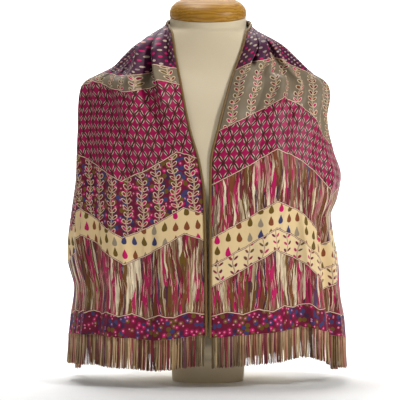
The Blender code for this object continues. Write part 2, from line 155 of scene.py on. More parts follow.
def read_off(table, column, where):
    """One column of a table at these heights or ways, on a smooth curve through its rows."""
    table = np.asarray(table, float)
    x, y = table[:, 0], table[:, column]
    slopes = np.diff(y) / np.diff(x)
    ends = np.zeros(len(x))
    product = slopes[:-1] * slopes[1:]
    mean = np.where(product > 0, 2 * product / np.where(product > 0, slopes[:-1] + slopes[1:], 1), 0)
    ends[1:-1] = mean
    ends[0], ends[-1] = slopes[0], slopes[-1]
    where = np.clip(np.asarray(where, float), x[0], x[-1])
    row = np.clip(np.searchsorted(x, where) - 1, 0, len(x) - 2)
    span = x[row + 1] - x[row]
    t = (where - x[row]) / span
    return (y[row] * (2 * t**3 - 3 * t**2 + 1) + y[row + 1] * (3 * t**2 - 2 * t**3)
            + span * (ends[row] * (t**3 - 2 * t**2 + t) + ends[row + 1] * (t**3 - t**2)))


def level_points(angle, half_width, front, back, squareness):
    """Points of level sections; angle 0 is the front, a quarter turn +X, a half turn the back."""
    sine, cosine = np.sin(angle), np.cos(angle)
    depth = np.where(cosine > 0, front, back)
    power = 2 / squareness
    return (np.sign(sine) * half_width * np.abs(sine) ** power,
            -np.sign(cosine) * depth * np.abs(cosine) ** power)


def seat_row(height):
    """The form's section where the cloth rests on it: the cloth's, drawn in by the clearance."""
    row = [height]
    for columns in ((1, 2), (3,), (4,)):
        reach, above = (min(float(read_off(drape_sections, c, level)) for c in columns)
                        for level in (height, height + slope_step))
        slope = (above - reach) / slope_step
        row.append(reach - (cloth_wall / 2 + thread_gap) * math.hypot(1, slope))
    row[1] -= shoulder_ease
    return (*row, float(read_off(drape_sections, 5, height)))


def ease(value):
    """0 to 1 with soft ends."""
    value = np.clip(value, 0, 1)
    return value * value * (3 - 2 * value)


def grid_mesh(name, points, closed=False):
    """A mesh through rows of points, each row joined to the next; closed rows join end to end."""
    rows, columns = points.shape[:2]
    index = np.arange(rows * columns).reshape(rows, columns)
    right = np.roll(index, -1, axis=1) if closed else index[:, 1:]
    left = index if closed else index[:, :-1]
    faces = np.stack([left[:-1], right[:-1], right[1:], left[1:]], axis=-1).reshape(-1, 4)
    mesh = bpy.data.meshes.new(name)
    mesh.from_pydata(points.reshape(-1, 3).tolist(), [], faces.tolist())
    return mesh


def close_ends(mesh, ring):
    """Closes the first and last rows of a mesh of closed rows, with ring points in a row."""
    shape = bmesh.new()
    shape.from_mesh(mesh)
    shape.verts.ensure_lookup_table()
    shape.faces.new([shape.verts[i] for i in reversed(range(ring))])
    shape.faces.new([shape.verts[i - ring] for i in range(ring)])
    bmesh.ops.recalc_face_normals(shape, faces=shape.faces[:])
    shape.to_mesh(mesh)
    shape.free()


def new_piece(name, mesh, material):
    """A smooth piece that rides with the part and takes the given material as its finish."""
    piece = bpy.data.objects.new(name, mesh)
    scene.collection.objects.link(piece)
    mesh.shade_smooth()
    mesh.materials.append(material)
    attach(piece, "root")
    return piece


class Field:
    """A number that the material's nodes work out, written as ordinary sums."""

    def __init__(self, tree, socket):
        self.tree, self.socket = tree, socket

    def math(self, operation, *others):
        node = self.tree.nodes.new("ShaderNodeMath")
        node.operation = operation
        for place, value in enumerate((self, *others)):
            if isinstance(value, Field):
                self.tree.links.new(value.socket, node.inputs[place])
            else:
                node.inputs[place].default_value = value
        return Field(self.tree, node.outputs[0])

    def __add__(self, other):
        return self.math("ADD", other)

    def __sub__(self, other):
        return self.math("SUBTRACT", other)

    def __mul__(self, other):
        return self.math("MULTIPLY", other)

    def __truediv__(self, other):
        return self.math("DIVIDE", other)

    def __rsub__(self, other):
        return (self * -1.0).math("ADD", other)

    __radd__ = __add__
    __rmul__ = __mul__

    def part(self):
        """What is over the whole number below."""
        return self.math("FRACT")

    def whole(self):
        return self.math("FLOOR")

    def size(self):
        return self.math("ABSOLUTE")

    def sine(self):
        return self.math("SINE")

    def squared(self):
        return self.math("POWER", 2.0)

    def below(self, other):
        return self.math("LESS_THAN", other)

    def above(self, other):
        return self.math("GREATER_THAN", other)

    def least(self, other):
        return self.math("MINIMUM", other)

    def most(self, other):
        return self.math("MAXIMUM", other)


def new_material(name, roughness, sheen=0.0, sheen_roughness=0.5, specular=0.5):
    """A node material, its shader and its tree, with the values that are the same all over."""
    material = bpy.data.materials.new(name)
    material.use_nodes = True
    tree = material.node_tree
    shader = tree.nodes["Principled BSDF"]
    shader.inputs["Roughness"].default_value = roughness
    shader.inputs["Sheen Weight"].default_value = sheen
    shader.inputs["Sheen Roughness"].default_value = sheen_roughness
    shader.inputs["Specular IOR Level"].default_value = specular
    return material, shader, tree


def linear(red, green, blue):
    """A colour given in the eye's scale of 0 to 255, as the shader takes it."""
    shares = [value / 255 for value in (red, green, blue)]
    return tuple(v / 12.92 if v <= 0.04045 else ((v + 0.055) / 1.055) ** 2.4 for v in shares) + (1.0,)


def blend_colours(tree, under, over, share):
    """One colour laid over another, where share is 1; either may be a colour or a socket."""
    node = tree.nodes.new("ShaderNodeMix")
    node.data_type = "RGBA"
    tree.links.new(share.socket, node.inputs["Factor"])
    for socket, value in ((node.inputs[6], under), (node.inputs[7], over)):
        if isinstance(value, tuple):
            socket.default_value = value
        else:
            tree.links.new(value, socket)
    return node.outputs[2]


def noise_field(tree, vector, scale, detail=2.0, roughness=0.5):
    """Soft noise from 0 to 1 over a vector socket."""
    node = tree.nodes.new("ShaderNodeTexNoise")
    node.inputs["Scale"].default_value = scale
    node.inputs["Detail"].default_value = detail
    node.inputs["Roughness"].default_value = roughness
    tree.links.new(vector, node.inputs["Vector"])
    return Field(tree, node.outputs["Fac"])


def add_bump(tree, shader, height, distance, strength=1.0):
    """Relief from a height field, in metres."""
    node = tree.nodes.new("ShaderNodeBump")
    node.inputs["Distance"].default_value = distance
    node.inputs["Strength"].default_value = strength
    tree.links.new(height.socket, node.inputs["Height"])
    tree.links.new(node.outputs["Normal"], shader.inputs["Normal"])


def object_place(tree):
    """The point on the piece, in metres, as a vector socket."""
    return tree.nodes.new("ShaderNodeTexCoord").outputs["Object"]


form_rows = np.array(form_sections + tuple(seat_row(h) for h in seat_heights) + neck_rings)
form_heights = np.concatenate([np.linspace(0, 0.034, 5)[:-1], np.linspace(0.034, neck_top, 150)])
around_form = np.linspace(0, 2 * math.pi, 128, endpoint=False)
form_grid_heights = form_heights[:, None] + 0 * around_form
form_x, form_y = level_points(
    around_form[None, :], *(read_off(form_rows, c, form_grid_heights) for c in (1, 2, 3, 4)))
slant = neck_tilt * ease((form_grid_heights - slant_starts) / (neck_top - slant_starts)) * form_y
form_points = np.stack([form_x, form_y, form_grid_heights + slant], axis=-1)
form_mesh = grid_mesh("form_body", form_points, closed=True)
close_ends(form_mesh, len(around_form))

cover, shader, tree = new_material("form_cover", roughness=0.82, sheen=0.10)
place = object_place(tree)
cloudy = noise_field(tree, place, 9.0, detail=4.0)
tone = blend_colours(tree, linear(226, 212, 184), linear(206, 188, 154), cloudy)
tree.links.new(tone, shader.inputs["Base Color"])
add_bump(tree, shader, noise_field(tree, place, 900.0, detail=3.0), 0.0004, 0.5)
form_body = new_piece("form_body", form_mesh, cover)
form_mesh.set_sharp_from_angle(angle=math.radians(50))
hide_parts("form_torso")

# The neck cap: one piece of varnished wood turned on a lathe, oval like the neck, and tilted forward
# on its slant. The real one is pegged into the neck; here it sits a hair above it, with no peg.
cap_turns = 96
cap_oval = 0.95
cap_profile = (
    # radius, height above the cap's underside
    (0.0000, 0.0335), (0.0100, 0.0332), (0.0200, 0.0318), (0.0320, 0.0296), (0.0420, 0.0262),
    (0.0495, 0.0226), (0.0545, 0.0185), (0.0577, 0.0148), (0.0595, 0.0110), (0.0603, 0.0075),
    (0.0605, 0.0040), (0.0603, 0.0018), (0.0597, 0.0005), (0.0590, 0.0000), (0.0000, 0.0000),
)
shape = bmesh.new()
rim = [shape.verts.new((radius, 0, height)) for radius, height in cap_profile]
for above, below in zip(rim, rim[1:]):
    shape.edges.new((above, below))
bmesh.ops.spin(shape, geom=shape.verts[:] + shape.edges[:], cent=(0, 0, 0), axis=(0, 0, 1),
               angle=-2 * math.pi, steps=cap_turns, use_merge=True)
bmesh.ops.remove_doubles(shape, verts=shape.verts[:], dist=1e-6)
bmesh.ops.recalc_face_normals(shape, faces=shape.faces[:])
shape.transform(Matrix.Translation((0, 0, neck_top + 0.0003))
                @ Matrix.Rotation(math.atan(neck_tilt), 4, "X") @ Matrix.Diagonal((1, cap_oval, 1, 1)))
cap_mesh = bpy.data.meshes.new("form_neck_cap_turned")
shape.to_mesh(cap_mesh)
shape.free()

wood, shader, tree = new_material("cap_wood", roughness=0.44, specular=0.25)
shader.inputs["Coat Weight"].default_value = 0.06
shader.inputs["Coat Roughness"].default_value = 0.30
stretch = tree.nodes.new("ShaderNodeMapping")
stretch.inputs["Scale"].default_value = (1.0, 9.0, 7.0)
tree.links.new(object_place(tree), stretch.inputs["Vector"])
figure = noise_field(tree, stretch.outputs["Vector"], 11.0, detail=6.0, roughness=0.6)
grain = tree.nodes.new("ShaderNodeTexWave")
grain.bands_direction = "Z"
grain.inputs["Scale"].default_value = 9.0
grain.inputs["Distortion"].default_value = 7.0
grain.inputs["Detail"].default_value = 4.0
grain.inputs["Detail Scale"].default_value = 1.6
tree.links.new(stretch.outputs["Vector"], grain.inputs["Vector"])
rings_of_growth = Field(tree, grain.outputs["Fac"])
tone = blend_colours(tree, linear(182, 134, 44), linear(154, 106, 28), rings_of_growth)
tone = blend_colours(tree, tone, linear(126, 82, 22), (figure - 0.45) * 1.4)
tree.links.new(tone, shader.inputs["Base Color"])
add_bump(tree, shader, rings_of_growth, 0.0002, 0.4)
cap = new_piece("neck_cap", cap_mesh, wood)
cap_mesh.set_sharp_from_angle(angle=math.radians(60))
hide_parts("form_neck_cap")

# The scarf: one oblong of printed silk, worn open. Its middle lies round the nape, the ends hang down
# the fronts and turn round the sides, and the spare length falls into folds at the sides and back.
scarf_width, scarf_length = 0.48, 1.28
half_length = scarf_length / 2
silk_wall = 0.0005
corner = 0.66  # way from the middle front, 0, to the middle back, 1, at which a fringed end stops
left_side, right_side = -1, 1
front_edges = (
    # height, distance from the middle on the left, on the right
    (0.040, 0.0052, 0.0052), (0.127, 0.0055, 0.0048), (0.298, 0.0085, 0.0050), (0.336, 0.0140, 0.0055),
    (0.352, 0.0175, 0.0065), (0.391, 0.0290, 0.0160), (0.468, 0.0440, 0.0360), (0.530, 0.0550, 0.0575),
    (0.560, 0.0600, 0.0640),
)
lower_edge = (
    # way from middle front to middle back, height on the left, on the right
    (0.00, 0.0812, 0.0776), (0.11, 0.0727, 0.0842), (0.17, 0.0755, 0.0880), (0.22, 0.0770, 0.0909),
    (0.28, 0.0780, 0.0850), (0.36, 0.0765, 0.0755), (0.44, 0.0745, 0.0685), (0.50, 0.0720, 0.0650),
    (0.58, 0.0640, 0.0580), (0.66, 0.0545, 0.0545), (0.72, 0.0900, 0.0890), (0.78, 0.1260, 0.1240),
    (0.84, 0.1280, 0.1290), (0.91, 0.1080, 0.1120), (1.00, 0.0960, 0.0960),
)
nape_edge = (
    # way, height of the edge that lies round the neck
    (0.00, 0.5440), (0.03, 0.5510), (0.06, 0.5555), (0.14, 0.5605), (0.30, 0.5625), (0.50, 0.5625),
    (0.70, 0.5605), (1.00, 0.5580),
)
folds = (
    # side, way at the foot and at the top, half width, out, lowest, highest
    (left_side, 0.030, 0.070, 0.040, 0.0090, 0.380, 0.568),
    (left_side, 0.065, 0.120, 0.035, -0.0100, 0.400, 0.568),
    (left_side, 0.135, 0.200, 0.055, 0.0130, 0.360, 0.566),
    (left_side, 0.210, 0.320, 0.045, -0.0080, 0.400, 0.575),
    (left_side, 0.330, 0.400, 0.055, 0.0080, 0.250, 0.530),
    (left_side, 0.060, 0.070, 0.055, 0.0040, 0.000, 0.230),
    (left_side, 0.140, 0.130, 0.050, -0.0080, 0.000, 0.270),
    (left_side, 0.220, 0.205, 0.050, 0.0060, 0.000, 0.250),
    (left_side, 0.300, 0.280, 0.050, -0.0090, 0.000, 0.300),
    (left_side, 0.400, 0.380, 0.050, -0.0060, 0.000, 0.220),
    (left_side, 0.560, 0.540, 0.055, -0.0130, 0.000, 0.420),
    (left_side, 0.640, 0.610, 0.050, 0.0100, 0.000, 0.400),
    (left_side, 0.725, 0.690, 0.080, -0.0290, 0.000, 0.440),
    (left_side, 0.830, 0.790, 0.055, 0.0110, 0.000, 0.470),
    (left_side, 0.920, 0.900, 0.050, -0.0120, 0.000, 0.400),
    (right_side, 0.030, 0.045, 0.045, 0.0070, 0.380, 0.568),
    (right_side, 0.085, 0.135, 0.030, -0.0080, 0.440, 0.568),
    (right_side, 0.135, 0.165, 0.035, 0.0120, 0.400, 0.568),
    (right_side, 0.205, 0.215, 0.045, -0.0100, 0.440, 0.568),
    (right_side, 0.300, 0.320, 0.065, 0.0110, 0.360, 0.570),
    (right_side, 0.390, 0.430, 0.050, 0.0040, 0.330, 0.520),
    (right_side, 0.130, 0.120, 0.050, 0.0060, 0.000, 0.300),
    (right_side, 0.210, 0.190, 0.045, -0.0080, 0.000, 0.260),
    (right_side, 0.290, 0.270, 0.050, 0.0090, 0.000, 0.330),
    (right_side, 0.365, 0.360, 0.045, -0.0120, 0.000, 0.310),
    (right_side, 0.430, 0.420, 0.040, 0.0040, 0.000, 0.260),
    (right_side, 0.570, 0.550, 0.055, -0.0140, 0.000, 0.420),
    (right_side, 0.645, 0.620, 0.050, 0.0090, 0.000, 0.380),
    (right_side, 0.725, 0.690, 0.080, -0.0280, 0.000, 0.450),
    (right_side, 0.820, 0.780, 0.055, 0.0120, 0.000, 0.460),
    (right_side, 0.910, 0.880, 0.050, -0.0110, 0.000, 0.420),
)
gathers = (
    # the same columns, for the ridges of cloth pushed together at the shoulders and collar
    (left_side, 0.004, 0.010, 0.026, 0.0050, 0.360, 0.560),
    (left_side, 0.070, 0.115, 0.110, 0.0130, 0.400, 0.566),
    (left_side, 0.040, 0.078, 0.034, 0.0120, 0.420, 0.566),
    (left_side, 0.112, 0.172, 0.040, 0.0250, 0.420, 0.566),
    (left_side, 0.190, 0.290, 0.042, 0.0120, 0.420, 0.560),
    (left_side, 0.270, 0.400, 0.060, 0.0060, 0.420, 0.570),
    (left_side, 0.200, 0.230, 0.045, 0.0050, 0.180, 0.400),
    (left_side, 0.360, 0.370, 0.040, 0.0060, 0.150, 0.400),
    (right_side, 0.020, 0.040, 0.040, 0.0060, 0.400, 0.566),
    (right_side, 0.100, 0.115, 0.110, 0.0190, 0.420, 0.566),
    (right_side, 0.215, 0.212, 0.036, 0.0210, 0.430, 0.560),
    (right_side, 0.140, 0.160, 0.045, 0.0045, 0.200, 0.400),
    (right_side, 0.330, 0.350, 0.045, 0.0060, 0.160, 0.420),
)
creases = (
    # the same columns, for the small sharp lines
    (left_side, 0.052, 0.128, 0.022, -0.0030, 0.340, 0.520),
    (left_side, 0.165, 0.260, 0.026, -0.0030, 0.380, 0.520),
    (left_side, 0.290, 0.430, 0.020, -0.0040, 0.400, 0.550),
    (left_side, 0.460, 0.440, 0.024, -0.0050, 0.300, 0.560),
    (left_side, 0.165, 0.190, 0.018, -0.0024, 0.250, 0.420),
    (left_side, 0.250, 0.270, 0.020, 0.0022, 0.200, 0.400),
    (left_side, 0.105, 0.100, 0.020, -0.0026, 0.040, 0.280),
    (left_side, 0.185, 0.170, 0.024, 0.0030, 0.040, 0.250),
    (left_side, 0.340, 0.330, 0.022, 0.0036, 0.040, 0.300),
    (left_side, 0.370, 0.350, 0.016, -0.0040, 0.040, 0.340),
    (left_side, 0.450, 0.420, 0.030, -0.0060, 0.040, 0.360),
    (left_side, 0.500, 0.480, 0.024, 0.0040, 0.040, 0.300),
    (right_side, 0.072, 0.110, 0.020, -0.0025, 0.380, 0.540),
    (right_side, 0.208, 0.204, 0.030, -0.0030, 0.380, 0.520),
    (right_side, 0.360, 0.390, 0.022, -0.0040, 0.400, 0.560),
    (right_side, 0.450, 0.430, 0.024, -0.0050, 0.320, 0.560),
    (right_side, 0.090, 0.110, 0.020, -0.0022, 0.230, 0.420),
    (right_side, 0.170, 0.200, 0.022, 0.0024, 0.220, 0.430),
    (right_side, 0.170, 0.160, 0.018, -0.0030, 0.040, 0.270),
    (right_side, 0.250, 0.240, 0.022, 0.0040, 0.040, 0.300),
    (right_side, 0.330, 0.320, 0.020, -0.0046, 0.040, 0.330),
    (right_side, 0.400, 0.390, 0.020, 0.0040, 0.040, 0.280),
    (right_side, 0.470, 0.450, 0.030, -0.0060, 0.040, 0.330),
    (right_side, 0.520, 0.500, 0.024, 0.0040, 0.040, 0.300),
)
pleats = (
    # the same columns, with depth in place of out, for the slots between ridges
    (left_side, 0.022, 0.046, 0.014, 0.0200, 0.492, 0.572),
    (left_side, 0.062, 0.128, 0.020, 0.0440, 0.448, 0.570),
    (left_side, 0.185, 0.350, 0.028, 0.0240, 0.470, 0.570),
    (right_side, 0.050, 0.076, 0.013, 0.0240, 0.488, 0.570),
    (right_side, 0.156, 0.150, 0.040, 0.0500, 0.474, 0.570),
)
fade_share = 0.35
lowest_rows = 0.04
crease_gain = 1.6
pleat_end = 0.016      # a pleat runs out over this height at its foot
pleat_lean = 0.5       # how far a ridge leans over the slot beside it, as a share of the slot's depth
lean_reach = 2.6       # width of the stretch that leans, as a multiple of the slot's
full_lean_out = 0.010  # a ridge this far out leans by its full share
deepest_hang = 0.03    # how far below the shoulders the cloth may swing in
hang_starts = 0.005
hang_fade = 0.05


def soft_bump(distance):
    """1 at no distance, falling softly to 0 at a distance of 1."""
    return np.where(np.abs(distance) >= 1, 0, np.cos(np.clip(distance, -1, 1) * math.pi / 2) ** 2)


def pinched(distance):
    """1 at no distance, falling to 0 at a distance of 1 from a narrow tip, as a crease does."""
    return np.clip(1 - np.abs(distance), 0, 1) ** 1.6


def steep(distance):
    """1 across the middle, falling steeply to 0 at a distance of 1, as the walls of a deep pleat do."""
    return 1 - ease((np.abs(distance) - 0.3) / 0.7)


def leaning(distance):
    """The lean of a pleat's two sides towards its middle; none at the middle or at a distance of 1."""
    return -distance * soft_bump(distance)


def lines_out(table, profile, side, way, height, reach=1.0, low_fade=None):
    """What the folds, gathers, creases or pleats of a table together give here. One that starts at the
    lower edge is whole there, and the others fade in over low_fade or a share of their own height."""
    total = np.zeros_like(height)
    for line_side, foot, top, half, size, low, high in table:
        rise = (height - low) / (high - low)
        middle = foot + (top - foot) * rise
        fade = fade_share * (high - low)
        begins = 1.0 if low <= lowest_rows else ease((height - low) / (low_fade or fade))
        strength = ease((high - height) / fade) * begins
        total += np.where(side == line_side, size * strength * profile((way - middle) / (half * reach)), 0)
    return total


def clear_of_form(x, y, height):
    """Moves points outwards until the cloth's inner face is clear of the form."""
    half_width, front, back, squareness = (read_off(form_rows, c, height) for c in (1, 2, 3, 4))
    depth = np.where(y < 0, front, back)
    scale = ((np.abs(x) / half_width) ** squareness + (np.abs(y) / depth) ** squareness) ** (1 / squareness)
    slope = (read_off(form_rows, 1, height + slope_step) - half_width) / slope_step
    on_shoulder = (height >= seat_heights[0]) & (height <= seat_heights[-1])
    clearance = (cloth_wall / 2 + thread_gap) * np.where(on_shoulder, np.hypot(1, slope), 1)
    least_reach = 0.02
    needed = 1 + clearance / np.maximum(np.hypot(x, y) / scale, least_reach)
    grow = np.maximum(needed / scale, 1)
    return x * grow, y * grow


def cloth_points(turn, rise, pleated=True):
    """Points of the cloth. turn goes once round, from the right front edge (0) over the middle back (1)
    to the left front edge (2); rise goes from the lower edge (0) to the neck (1). Without pleats it
    gives the larger folds alone."""
    turn, rise = np.broadcast_arrays(np.asarray(turn, float), np.asarray(rise, float))
    side = np.where(turn <= 1, right_side, left_side)
    way = np.where(turn <= 1, turn, 2 - turn)

    def sided(table, where, left_column):
        left, right = (read_off(table, column, where) for column in (left_column, left_column + 1))
        return np.where(side > 0, right, left)

    bottom, top = sided(lower_edge, way, 1), read_off(nape_edge, 1, way)
    height = bottom + (top - bottom) * rise
    half_width = sided(drape_sections, height, 1)
    front, back, squareness = (read_off(drape_sections, c, height) for c in (3, 4, 5))
    edge = sided(front_edges, height, 1)
    first = np.arcsin(np.minimum(edge / half_width, 1) ** (squareness / 2))
    angle = first + (math.pi - first) * way
    x, y = level_points(angle, half_width, front, back, squareness)
    beside = 0.02
    x0, y0 = level_points(angle - beside, half_width, front, back, squareness)
    x1, y1 = level_points(angle + beside, half_width, front, back, squareness)
    length = np.hypot(x1 - x0, y1 - y0)
    out = lines_out(folds, soft_bump, side, way, height)
    if pleated:
        out = out + lines_out(gathers, soft_bump, side, way, height)
        out = out + lines_out(creases, pinched, side, way, height) * crease_gain
        out = out - lines_out(pleats, steep, side, way, height, low_fade=pleat_end)
        lean = lines_out(pleats, leaning, side, way, height, reach=lean_reach) * pleat_lean
        lean = lean * np.clip(out / full_lean_out, 0, 1)
        x, y = x + (x1 - x0) / length * lean, y + (y1 - y0) / length * lean
    out = np.maximum(out, -deepest_hang * ease((seat_heights[0] + hang_starts - height) / hang_fade))
    x, y = clear_of_form(x + (y1 - y0) / length * out, y - (x1 - x0) / length * out, height)
    return np.stack([side * x, y, height], axis=-1)


def add_map(mesh, name, u, v):
    """A UV map from one pair of numbers for each point of the mesh."""
    layer = mesh.uv_layers.new(name=name)
    corners = np.zeros(len(mesh.loops), int)
    mesh.loops.foreach_get("vertex_index", corners)
    pairs = np.stack([np.ravel(u)[corners], np.ravel(v)[corners]], axis=-1)
    layer.data.foreach_set("uv", pairs.ravel())


ways = np.concatenate([
    np.linspace(0, 0.30, 91), np.linspace(0.30, 0.62, 47)[1:], np.linspace(0.62, 1, 29)[1:]])
turns = np.concatenate([ways, 2 - ways[::-1][1:]])
rises = np.concatenate([np.linspace(0, 0.70, 76)[:-1], np.linspace(0.70, 1, 62)])
silk_points = cloth_points(turns[None, :], rises[:, None])

# Where each point of the drape lies on the flat cloth, in metres: across from the inner edge, along from
# the left end. In front it is measured from the front edge and the fringe, behind from the nape, and the
# one passes into the other in the deep fold at each side of the back.
smooth_points = cloth_points(turns[None, :], rises[:, None], pleated=False)
steps_round = np.linalg.norm(np.diff(smooth_points, axis=1), axis=-1)
steps_up = np.linalg.norm(np.diff(smooth_points, axis=0), axis=-1)
round_right = np.concatenate([np.zeros((len(rises), 1)), np.cumsum(steps_round, axis=1)], axis=1)
climb = np.concatenate([np.zeros((1, len(turns))), np.cumsum(steps_up, axis=0)], axis=0)
middle_back = len(ways) - 1
to_back = np.abs(round_right - round_right[:, middle_back:middle_back + 1])
from_front = np.minimum(round_right, round_right[:, -1:] - round_right)
way_grid = np.minimum(turns, 2 - turns)[None, :] + 0 * climb
corner_column = int(np.argmin(np.abs(ways - corner)))
spread = scarf_width / from_front[0, corner_column]
fullness = 1 + (spread - 1) * ease(way_grid / corner)
deep_fold_foot, deep_fold_lean, deep_fold_top = 0.725, 0.035, 0.44
passing_width = 0.020
back_fullness = 1.1
turn_at = deep_fold_foot - deep_fold_lean * np.clip(silk_points[..., 2] / deep_fold_top, 0, 1)
behind = ease((way_grid - turn_at) / passing_width + 0.5)
across = (1 - behind) * from_front * fullness + behind * (climb[-1:] - climb)
up_cloth = (1 - behind) * climb + behind * (half_length - to_back * back_fullness)
up_cloth = np.clip(up_cloth, 0, half_length)
along = np.where(turns[None, :] <= 1, scarf_length - up_cloth, up_cloth)

silk_mesh = grid_mesh("silk", silk_points)
add_map(silk_mesh, "OFBake", turns[None, :] / 2 + 0 * climb, rises[:, None] + 0 * climb)
add_map(silk_mesh, "cloth", across, along)

# The print: zigzag bands of trellis, dots, beads, flame streaks, leafy garlands and small drops, screened
# in magenta, wine, cream, taupe, olive and slate, with a thin wine line and a cream one between bands.
cream, beige, taupe = linear(236, 220, 186), linear(232, 206, 156), linear(134, 120, 98)
magenta, wine, pink = linear(192, 0, 92), linear(112, 8, 38), linear(226, 120, 160)
olive, slate, purple = linear(104, 78, 14), linear(56, 56, 102), linear(58, 28, 62)
brown, dusty = linear(128, 66, 30), linear(196, 136, 126)
drawn_line, fawn = linear(222, 202, 170), linear(184, 156, 114)

silk, shader, tree = new_material(
    "printed_silk", roughness=0.48, sheen=0.03, sheen_roughness=0.4, specular=0.25)
map_node = tree.nodes.new("ShaderNodeUVMap")
map_node.uv_map = "cloth"
wander = tree.nodes.new("ShaderNodeTexNoise")
wander.inputs["Scale"].default_value = 70.0
wander.inputs["Detail"].default_value = 2.0
tree.links.new(map_node.outputs["UV"], wander.inputs["Vector"])
wander_parts = tree.nodes.new("ShaderNodeSeparateXYZ")
tree.links.new(wander.outputs["Color"], wander_parts.inputs[0])
map_parts = tree.nodes.new("ShaderNodeSeparateXYZ")
tree.links.new(map_node.outputs["UV"], map_parts.inputs[0])
hand_waver = 0.0035
across_print = Field(tree, map_parts.outputs[0]) + (Field(tree, wander_parts.outputs[0]) - 0.5) * hand_waver
along_print = Field(tree, map_parts.outputs[1]) + (Field(tree, wander_parts.outputs[1]) - 0.5) * hand_waver
on_left = along_print.below(half_length)
up_print = along_print.least(scarf_length - along_print)


def pair(x, y):
    """Two numbers as a vector socket."""
    node = tree.nodes.new("ShaderNodeCombineXYZ")
    tree.links.new(x.socket, node.inputs[0])
    tree.links.new(y.socket, node.inputs[1])
    return node.outputs[0]


def chance_of(x, y):
    """A random number from 0 to 1 that is the same all over one whole pair of numbers."""
    node = tree.nodes.new("ShaderNodeTexWhiteNoise")
    node.noise_dimensions = "2D"
    tree.links.new(pair(x, y), node.inputs["Vector"])
    return Field(tree, node.outputs["Value"])


def cells(x, y):
    """Random patches: each patch's own random number, and the distance from its middle."""
    node = tree.nodes.new("ShaderNodeTexVoronoi")
    node.voronoi_dimensions = "2D"
    node.inputs["Scale"].default_value = 1.0
    tree.links.new(pair(x, y), node.inputs["Vector"])
    parts = tree.nodes.new("ShaderNodeSeparateXYZ")
    tree.links.new(node.outputs["Color"], parts.inputs[0])
    return Field(tree, parts.outputs[0]), Field(tree, node.outputs["Distance"])


def choose(share, colours):
    """One of several colours in turn as share goes from 0 to 1."""
    node = tree.nodes.new("ShaderNodeValToRGB")
    ramp = node.color_ramp
    ramp.interpolation = "CONSTANT"
    while len(ramp.elements) < len(colours):
        ramp.elements.new(0.5)
    for place, colour in enumerate(colours):
        ramp.elements[place].position = place / len(colours)
        ramp.elements[place].color = colour
    tree.links.new(share.socket, node.inputs["Fac"])
    return node.outputs["Color"]


def mottled(first, second, scale=160.0):
    """Two colours that run softly into each other."""
    return blend_colours(tree, first, second, noise_field(tree, map_node.outputs["UV"], scale, detail=3.0))


def lozenges(width, height):
    """Places in a net of lozenges: two slanting numbers from -0.5 to 0.5, and the lozenge's own pair."""
    first = across_print / width + up_print / height
    second = across_print / width - up_print / height
    return first.part() - 0.5, second.part() - 0.5, first.whole(), second.whole()


def trellis():
    """Crossed dark bars, each stretch of bar down the middle of a pale leaf, on magenta."""
    leaf_length, leaf_breadth, bar = 0.32, 0.165, 0.085
    first, second, _, _ = lozenges(0.0170, 0.0265)
    to_edge = 0.5 - first.size().most(second.size())
    leaf_a = (second / leaf_length).squared() + ((0.5 - first.size()) / leaf_breadth).squared()
    leaf_b = (first / leaf_length).squared() + ((0.5 - second.size()) / leaf_breadth).squared()
    leaves = mottled(linear(244, 232, 208), linear(104, 84, 68), 420.0)
    bars = mottled(linear(66, 44, 12), linear(46, 4, 18), 90.0)
    colour = mottled(linear(198, 0, 94), linear(84, 0, 34), 90.0)
    colour = blend_colours(tree, colour, leaves, leaf_a.least(leaf_b).below(1.0))
    return blend_colours(tree, colour, bars, to_edge.below(bar))


def dots():
    """Small pale and magenta dots in staggered rows on purple."""
    dot = 0.055
    first, second, column, row = lozenges(0.0110, 0.0115)
    colour = mottled(purple, linear(80, 18, 44), 45.0)
    reach = first * first + second * second
    speck = choose(chance_of(column, row), (linear(186, 168, 150), linear(150, 132, 124), dusty, magenta))
    return blend_colours(tree, colour, speck, reach.below(dot))


def beads():
    """Scattered round beads on a dark ground, most of them with a bright middle."""
    bead, rim, middle = 0.0076, 0.48, 0.18
    number, distance = cells(across_print / bead, up_print / bead)
    colour = choose(number, (slate, magenta, olive, wine, slate, linear(160, 4, 74), purple, olive, wine))
    colour = blend_colours(tree, colour, linear(106, 4, 46), distance.above(rim))
    bright = distance.below(middle) * number.math("MODULO", 0.23).above(0.09)
    return blend_colours(tree, colour, pink, bright)


def streaks():
    """Long upright flames in three widths, swaying together, with a warm tinge here and there."""
    sway = noise_field(tree, pair(across_print / 0.045, up_print / 0.100), 1.0, detail=1.0) - 0.5
    line = across_print + sway * 0.022
    number, _ = cells(line / 0.0060, up_print / 0.074)
    colour = choose(number, (
        cream, fawn, dusty, magenta, linear(206, 186, 150), olive, wine, magenta, taupe, cream, fawn, slate,
        brown, wine, magenta, olive))
    thin_number, _ = cells(line / 0.0026, up_print / 0.046)
    thin = choose((thin_number * 7.0).part(), (
        olive, wine, cream, magenta, linear(140, 118, 84), wine, magenta, purple, brown))
    colour = blend_colours(tree, colour, thin, thin_number.above(0.52))
    fine = noise_field(tree, pair(line / 0.0012, up_print / 0.030), 1.0, detail=1.0)
    colour = blend_colours(tree, colour, linear(92, 58, 34), fine.above(0.60))
    colour = blend_colours(tree, colour, linear(232, 214, 180), fine.below(0.35))
    tinge = noise_field(tree, pair(line / 0.0045, up_print / 0.035), 1.0, detail=2.0)
    return blend_colours(tree, colour, linear(112, 50, 36), (tinge - 0.36) * 1.6)


